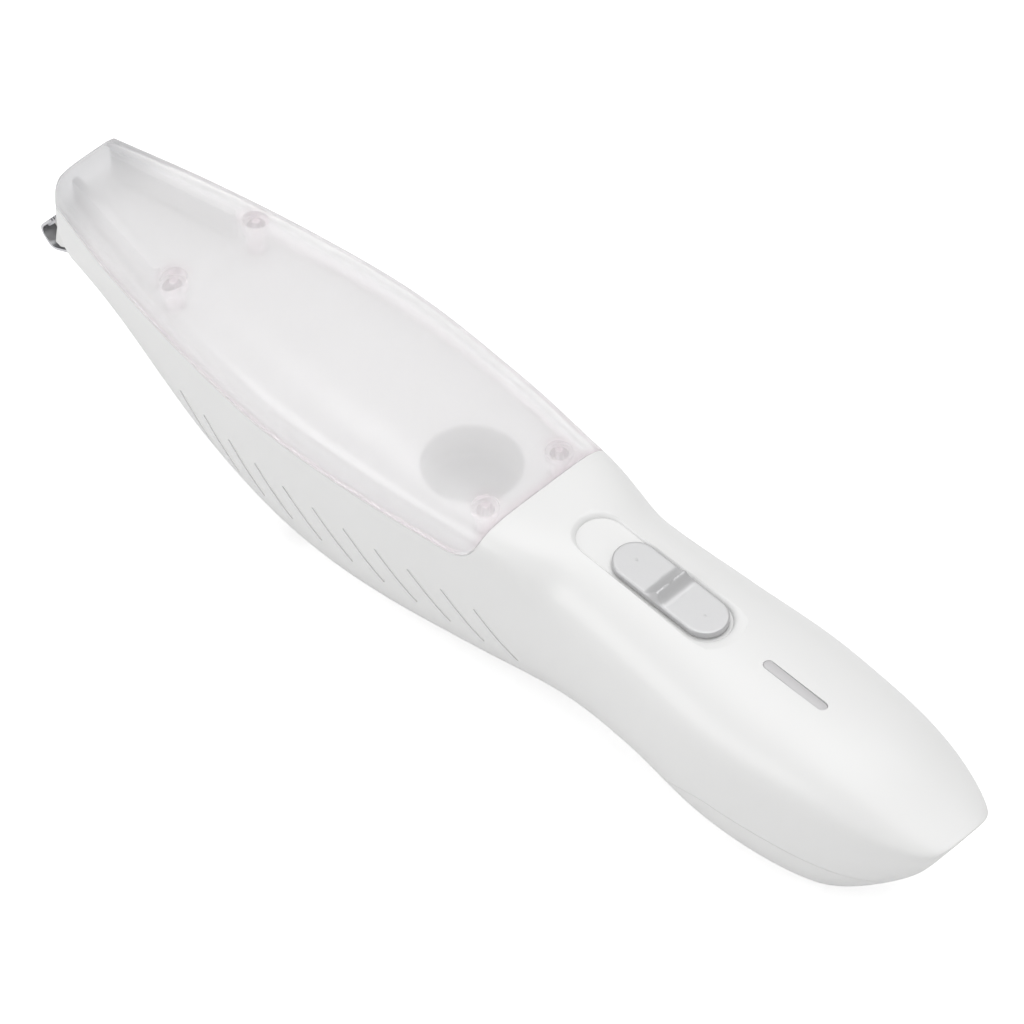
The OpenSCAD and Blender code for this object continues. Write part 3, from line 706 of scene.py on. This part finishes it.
GREY = (0.8, 0.8, 0.8, 1.0)
FROST = (0.97, 0.965, 0.97, 1.0)
FROST_EDGE = (0.86, 0.79, 0.82, 1.0)
# Grey of the painted shade on the cover towards the nozzle opening, where the shaded inside shows
# through
FROST_MOUTH_SHADE = (0.68, 0.68, 0.69, 1.0)
LACQUER = (0.03, 0.20, 0.09, 1.0)
LACQUER_LIGHT = (0.04, 0.25, 0.11, 1.0)
TRACK = (0.10, 0.36, 0.18, 1.0)
CHIP = (0.015, 0.015, 0.017, 1.0)
LEAD_BLACK = (0.02, 0.02, 0.02, 1.0)
LEAD_RED = (0.50, 0.03, 0.03, 1.0)


def moulded_group():
    """Fine spark-eroded grain over slow patches, as on moulded plastic, both in metres."""
    tree, given, out = new_group(
        "moulded_finish",
        [("Color", "NodeSocketColor", GREY), ("Roughness", "NodeSocketFloat", 0.4),
         ("Grain Per Metre", "NodeSocketFloat", 5000.0), ("Patch Per Metre", "NodeSocketFloat", 70.0),
         ("Patch Strength", "NodeSocketFloat", 0.03)],
        [("Color", "NodeSocketColor"), ("Roughness", "NodeSocketFloat"), ("Height", "NodeSocketFloat")])
    at = add(tree, "ShaderNodeTexCoord").outputs["Object"]
    grain = add(tree, "ShaderNodeTexNoise", {"Vector": at, "Scale": given.outputs["Grain Per Metre"],
                                             "Detail": 2.0, "Roughness": 0.6})
    patch = add(tree, "ShaderNodeTexNoise", {"Vector": at, "Scale": given.outputs["Patch Per Metre"],
                                             "Detail": 3.0})
    swing = add(tree, "ShaderNodeMath", {0: patch.outputs["Fac"], 1: 0.5}, operation="SUBTRACT")
    amount = add(tree, "ShaderNodeMath", {0: swing.outputs[0], 1: given.outputs["Patch Strength"]},
                 operation="MULTIPLY")
    rough = add(tree, "ShaderNodeMath", {0: amount.outputs[0], 1: 3.0, 2: given.outputs["Roughness"]},
                operation="MULTIPLY_ADD")
    shade = add(tree, "ShaderNodeMath", {0: amount.outputs[0], 1: 1.0}, operation="ADD")
    tone = add(tree, "ShaderNodeVectorMath", {0: given.outputs["Color"], "Scale": shade.outputs[0]},
               operation="SCALE")
    tree.links.new(tone.outputs[0], out.inputs["Color"])
    tree.links.new(rough.outputs[0], out.inputs["Roughness"])
    tree.links.new(grain.outputs["Fac"], out.inputs["Height"])
    return tree


def brushed_group():
    """Fine parallel scratches: noise squeezed across one direction and drawn out along another."""
    tree, given, out = new_group(
        "brushed_finish",
        [("Color", "NodeSocketColor", GREY), ("Roughness", "NodeSocketFloat", 0.3),
         ("Scratches Per Metre", "NodeSocketVector", (200.0, 9000.0, 9000.0)),
         ("Strength", "NodeSocketFloat", 0.1)],
        [("Color", "NodeSocketColor"), ("Roughness", "NodeSocketFloat"), ("Height", "NodeSocketFloat")])
    at = add(tree, "ShaderNodeTexCoord").outputs["Object"]
    drawn = add(tree, "ShaderNodeVectorMath", {0: at, 1: given.outputs["Scratches Per Metre"]},
                operation="MULTIPLY")
    line = add(tree, "ShaderNodeTexNoise", {"Vector": drawn.outputs[0], "Scale": 1.0, "Detail": 3.0})
    swing = add(tree, "ShaderNodeMath", {0: line.outputs["Fac"], 1: 0.5}, operation="SUBTRACT")
    amount = add(tree, "ShaderNodeMath", {0: swing.outputs[0], 1: given.outputs["Strength"]},
                 operation="MULTIPLY")
    rough = add(tree, "ShaderNodeMath", {0: amount.outputs[0], 1: given.outputs["Roughness"]},
                operation="ADD")
    shade = add(tree, "ShaderNodeMath", {0: amount.outputs[0], 1: 1.0}, operation="ADD")
    tone = add(tree, "ShaderNodeVectorMath", {0: given.outputs["Color"], "Scale": shade.outputs[0]},
               operation="SCALE")
    tree.links.new(tone.outputs[0], out.inputs["Color"])
    tree.links.new(rough.outputs[0], out.inputs["Roughness"])
    tree.links.new(line.outputs["Fac"], out.inputs["Height"])
    return tree


MOULDED = moulded_group()
BRUSHED = brushed_group()
FINISHES = {}


def blank(name):
    """A new material under the name of its slot, kept in FINISHES."""
    made = bpy.data.materials.new(name + "_finish")
    FINISHES[name] = made
    made.use_nodes = True
    shader = made.node_tree.nodes["Principled BSDF"]
    return made, made.node_tree, shader


def dress(tree, shader, finish, depth_mm, color=None):
    """Joins a finish group to the shader, with its height as a bump of the given depth."""
    tree.links.new(color or finish.outputs["Color"], shader.inputs["Base Color"])
    tree.links.new(finish.outputs["Roughness"], shader.inputs["Roughness"])
    bump = add(tree, "ShaderNodeBump", {"Height": finish.outputs["Height"], "Distance": depth_mm * MM,
                                        "Strength": 1.0})
    tree.links.new(bump.outputs["Normal"], shader.inputs["Normal"])


def plastic(name, color, rough=0.4, grain=5000.0, depth=0.002, patch=0.03, **sockets):
    """Moulded plastic with a fine grain."""
    made, tree, shader = blank(name)
    finish = add(tree, "ShaderNodeGroup", node_tree=MOULDED)
    finish.inputs["Color"].default_value = (*color, 1.0)
    finish.inputs["Roughness"].default_value = rough
    finish.inputs["Grain Per Metre"].default_value = grain
    finish.inputs["Patch Strength"].default_value = patch
    dress(tree, shader, finish, depth)
    for key, value in sockets.items():
        shader.inputs[key.replace("_", " ")].default_value = value
    return made


def metal(name, color, rough=0.3, scratches=(200.0, 9000.0, 9000.0), strength=0.12, metallic=1.0):
    """Brushed or drawn metal."""
    made, tree, shader = blank(name)
    finish = add(tree, "ShaderNodeGroup", node_tree=BRUSHED)
    finish.inputs["Color"].default_value = (*color, 1.0)
    finish.inputs["Roughness"].default_value = rough
    finish.inputs["Scratches Per Metre"].default_value = scratches
    finish.inputs["Strength"].default_value = strength
    dress(tree, shader, finish, 0.0015)
    shader.inputs["Metallic"].default_value = metallic
    return made


def by_height(tree, low, high):
    """0 below a height in metres and 1 above it, as a mask."""
    at = add(tree, "ShaderNodeTexCoord").outputs["Object"]
    z = add(tree, "ShaderNodeSeparateXYZ", {0: at}).outputs["Z"]
    return add(tree, "ShaderNodeMapRange", {"Value": z, "From Min": low, "From Max": high}).outputs[0]


def frosted():
    """Milky translucent cover: a cool body colour that turns mauve along its cut edge and its pins,
    greys with painted shade towards the nozzle opening, and has a faint painted glow for light scattered
    inside the plastic.
    """
    made, tree, shader = blank("cover_frosted")
    finish = add(tree, "ShaderNodeGroup", node_tree=MOULDED)
    finish.inputs["Color"].default_value = FROST
    finish.inputs["Roughness"].default_value = 0.21
    finish.inputs["Grain Per Metre"].default_value = 4000.0
    edge = add(tree, "ShaderNodeAttribute", attribute_name="thick_edge")
    tone = add(tree, "ShaderNodeMix", {"Factor": edge.outputs["Fac"]}, data_type="RGBA")
    tree.links.new(finish.outputs["Color"], tone.inputs["A"])
    tone.inputs["B"].default_value = FROST_EDGE
    # Painted shade: the cover greys towards the nozzle opening
    mouth = add(tree, "ShaderNodeAttribute", attribute_name="mouth")
    shade = add(tree, "ShaderNodeMix", {"Factor": mouth.outputs["Fac"]}, data_type="RGBA")
    tree.links.new(tone.outputs["Result"], shade.inputs["A"])
    shade.inputs["B"].default_value = FROST_MOUTH_SHADE
    dress(tree, shader, finish, 0.003, shade.outputs["Result"])
    shader.inputs["Transmission Weight"].default_value = 0.76
    shader.inputs["IOR"].default_value = 1.46
    # Painted light: a faint glow stands in for light scattered inside the milky plastic
    shader.inputs["Emission Color"].default_value = (1.0, 0.99, 1.0, 1.0)
    shader.inputs["Emission Strength"].default_value = 0.08
    shader.inputs["Specular IOR Level"].default_value = 0.45
    return made


def board():
    """Green lacquer over faint copper tracks, with black chips standing on top."""
    made, tree, shader = blank("board_green")
    finish = add(tree, "ShaderNodeGroup", node_tree=MOULDED)
    finish.inputs["Color"].default_value = LACQUER
    finish.inputs["Roughness"].default_value = 0.35
    at = add(tree, "ShaderNodeTexCoord").outputs["Object"]
    tracks = add(tree, "ShaderNodeTexBrick", {
        "Vector": at, "Scale": 420.0, "Color1": LACQUER, "Color2": LACQUER_LIGHT,
        "Mortar": TRACK, "Mortar Size": 0.06})
    chips = by_height(tree, 0.02522, 0.02524)
    tone = add(tree, "ShaderNodeMix", {"Factor": chips}, data_type="RGBA")
    tree.links.new(tracks.outputs["Color"], tone.inputs["A"])
    tone.inputs["B"].default_value = CHIP
    dress(tree, shader, finish, 0.002, tone.outputs["Result"])
    return made


def lead_cover():
    """Red lead on one side of the middle, black on the other."""
    made, tree, shader = blank("lead_cover")
    finish = add(tree, "ShaderNodeGroup", node_tree=MOULDED)
    finish.inputs["Roughness"].default_value = 0.45
    at = add(tree, "ShaderNodeTexCoord").outputs["Object"]
    y = add(tree, "ShaderNodeSeparateXYZ", {0: at}).outputs["Y"]
    side = add(tree, "ShaderNodeMapRange", {"Value": y, "From Min": -0.0001, "From Max": 0.0001})
    tone = add(tree, "ShaderNodeMix", {"Factor": side.outputs[0]}, data_type="RGBA")
    tone.inputs["A"].default_value = LEAD_BLACK
    tone.inputs["B"].default_value = LEAD_RED
    dress(tree, shader, finish, 0.004, tone.outputs["Result"])
    return made


def make_materials():
    """One finish for every slot of the record."""
    white = (0.86, 0.86, 0.855)
    plastic("shell_white", white, 0.34, 4500.0, 0.0015, 0.02, Coat_Weight=0.12, Coat_Roughness=0.25)
    frosted()
    plastic("filter_white", (0.72, 0.72, 0.72), 0.6, 9000.0)
    plastic("inner_white", (0.78, 0.78, 0.76), 0.5)
    plastic("fan_grey", (0.10, 0.105, 0.115), 0.45)
    metal("steel_bright", (0.78, 0.78, 0.79), 0.2)
    metal("motor_can", (0.68, 0.68, 0.69), 0.3, (200.0, 6000.0, 6000.0))
    plastic("sleeve_rubber", (0.025, 0.025, 0.025), 0.75, 2500.0, 0.01, 0.1)
    plastic("dark_plastic", (0.02, 0.02, 0.022), 0.45)
    plastic("carrier_white", (0.84, 0.84, 0.82), 0.42)
    metal("blade_steel", (0.68, 0.68, 0.70), 0.36, (9000.0, 300.0, 9000.0), 0.16)
    plastic("nose_white", (0.84, 0.84, 0.83), 0.42)
    metal("screw_steel", (0.55, 0.55, 0.56), 0.3, (3000.0, 3000.0, 3000.0), 0.2)
    metal("cap_silver", (0.61, 0.61, 0.615), 0.45, (5000.0, 5000.0, 5000.0), 0.05, 0.6)
    metal("switch_metal", (0.70, 0.70, 0.70), 0.32)
    plastic("light_pipe", (0.70, 0.69, 0.70), 0.3, 3000.0, 0.001, 0.04,
            Transmission_Weight=0.15, IOR=1.49)
    plastic("led_body", (0.90, 0.86, 0.62), 0.3)
    board()
    plastic("battery_wrap", (0.03, 0.12, 0.34), 0.3, 1500.0, 0.006, 0.08)
    metal("tab_nickel", (0.74, 0.72, 0.68), 0.28)
    # Painted shade: the charging port's metal is made near black to stand for the shade inside its slot
    metal("port_metal", (0.10, 0.10, 0.11), 0.35, (6000.0, 6000.0, 300.0), 0.1)
    lead_cover()


def coat(piece, material):
    """Gives every slot of a piece one finish."""
    if not piece.data.materials:
        piece.data.materials.append(material)
    for slot in piece.material_slots:
        slot.material = material


def mark_thick_edges(cover):
    """Marks the cover near its cut edge and round its pins, and separately the painted shade that greys
    it towards the nozzle opening.
    """
    mesh = cover.data
    flat = np.empty(len(mesh.vertices) * 3)
    mesh.vertices.foreach_get("co", flat)
    at = flat.reshape(-1, 3) / MM
    low = at[:, 2] - SEAM_Z
    back = at[:, 0] + SEAM_BACK
    edge = np.clip(1.0 - (np.minimum(low, back) - SEAM_GAP) / 1.3, 0, 1)
    for x, y in POSTS:
        near = np.hypot(at[:, 0] - x, np.abs(at[:, 1]) - y)
        edge = np.maximum(edge, 0.75 * np.clip(1.25 - near / 2.6, 0, 1))
    # Painted shade towards the nozzle opening: none behind x = 74, full at x = 88
    mouth = ease(74, 88, at[:, 0])
    for name, value in (("thick_edge", edge), ("mouth", mouth)):
        layer = mesh.attributes.new(name, "FLOAT", "POINT")
        layer.data.foreach_set("value", value.astype(np.float32))


# ---- Stage: floor, light and camera ----
VIEW_FROM = Vector((-0.470, 0.476, 0.743))
LOOK_AT = Vector((-0.00385, 0.0, 0.025))
VIEW_DISTANCE = 1.05
LENS = 248.4
SENSOR = 36.0
SKY = 0.56
FLOOR_GLOW = 0.5


def make_camera():
    lens = bpy.data.cameras.new("camera")
    lens.lens = LENS
    lens.sensor_width = SENSOR
    lens.clip_start = 0.05
    camera = bpy.data.objects.new("camera", lens)
    SCENE.collection.objects.link(camera)
    camera.location = LOOK_AT + VIEW_FROM.normalized() * VIEW_DISTANCE
    camera.rotation_euler = (-VIEW_FROM).to_track_quat("-Z", "Y").to_euler()
    SCENE.camera = camera


def soft_light(name, place, size, watts):
    """A large square light that faces the middle of the tool."""
    lamp = bpy.data.lights.new(name, "AREA")
    lamp.shape = "SQUARE"
    lamp.size = size
    lamp.energy = watts
    made = bpy.data.objects.new(name, lamp)
    SCENE.collection.objects.link(made)
    made.location = place
    made.rotation_euler = (LOOK_AT - Vector(place)).to_track_quat("-Z", "Y").to_euler()


def make_stage():
    """A wide pale floor that rises gently far away, under soft light from all round."""
    n = 25
    u = np.linspace(-2.0, 2.0, n)
    x, y = np.meshgrid(u, u, indexing="ij")
    z = 0.02 * np.clip(np.hypot(x, y) - 1.0, 0, None) ** 2
    index = np.arange(n * n).reshape(n, n)
    faces = np.stack([index[:-1, :-1], index[1:, :-1], index[1:, 1:], index[:-1, 1:]], -1)
    mesh = bpy.data.meshes.new("floor")
    mesh.from_pydata(np.stack([x, y, z], -1).reshape(-1, 3).tolist(), [], faces.reshape(-1, 4).tolist())
    floor = bpy.data.objects.new("floor", mesh)
    SCENE.collection.objects.link(floor)
    mesh.shade_smooth()
    paper = plastic("paper_floor", (0.90, 0.90, 0.90), 0.9, 900.0, 0.004, 0.01)
    shader = paper.node_tree.nodes["Principled BSDF"]
    glow = add(paper.node_tree, "ShaderNodeLightPath").outputs["Is Camera Ray"]
    lift = add(paper.node_tree, "ShaderNodeMath", {0: glow, 1: FLOOR_GLOW}, operation="MULTIPLY")
    shader.inputs["Emission Color"].default_value = (1.0, 1.0, 1.0, 1.0)
    paper.node_tree.links.new(lift.outputs[0], shader.inputs["Emission Strength"])
    coat(floor, paper)
    world = bpy.data.worlds.new("studio")
    world.use_nodes = True
    sky = world.node_tree.nodes["Background"]
    sky.inputs["Color"].default_value = (1.0, 1.0, 1.0, 1.0)
    sky.inputs["Strength"].default_value = SKY
    SCENE.world = world
    soft_light("light_above", (0.10, -0.25, 1.2), 0.9, 5.7)
    soft_light("light_side", (0.55, 0.95, 0.75), 0.7, 3.4)
    soft_light("light_tail", (-1.0, -0.2, 0.6), 0.6, 0.3)
    SCENE.view_settings.view_transform = "Standard"


def settle(piece, body, slot, *stands_for):
    """Finishes a new piece: its finish, the body it rides on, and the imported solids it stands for."""
    coat(piece, FINISHES[slot])
    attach(piece, body)
    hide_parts(*stands_for)


def main():
    make_camera()
    make_stage()
    make_materials()
    for subpart in frame["record"]["subparts"]:
        coat(frame["nodes"][subpart["node"]], FINISHES[subpart["material_slot"]])
    upper, lower, cover = make_shells()
    for shell in (upper, lower, cover):
        smooth_shading(shell)
    mark_thick_edges(cover)
    cap = make_cap()
    smooth_shading(cap, 40)
    light = make_light_bar()
    smooth_shading(light)
    comb = make_comb()
    smooth_shading(comb, 30)
    settle(upper, "housing", "shell_white", "upper_housing")
    settle(lower, "housing", "shell_white", "lower_housing")
    settle(cover, "cover", "cover_frosted", "chamber_cover")
    settle(cap, "switch", "cap_silver", "switch_cap")
    settle(light, "housing", "light_pipe", "light_bar")
    settle(comb, "housing", "blade_steel", "fixed_blade")


main()
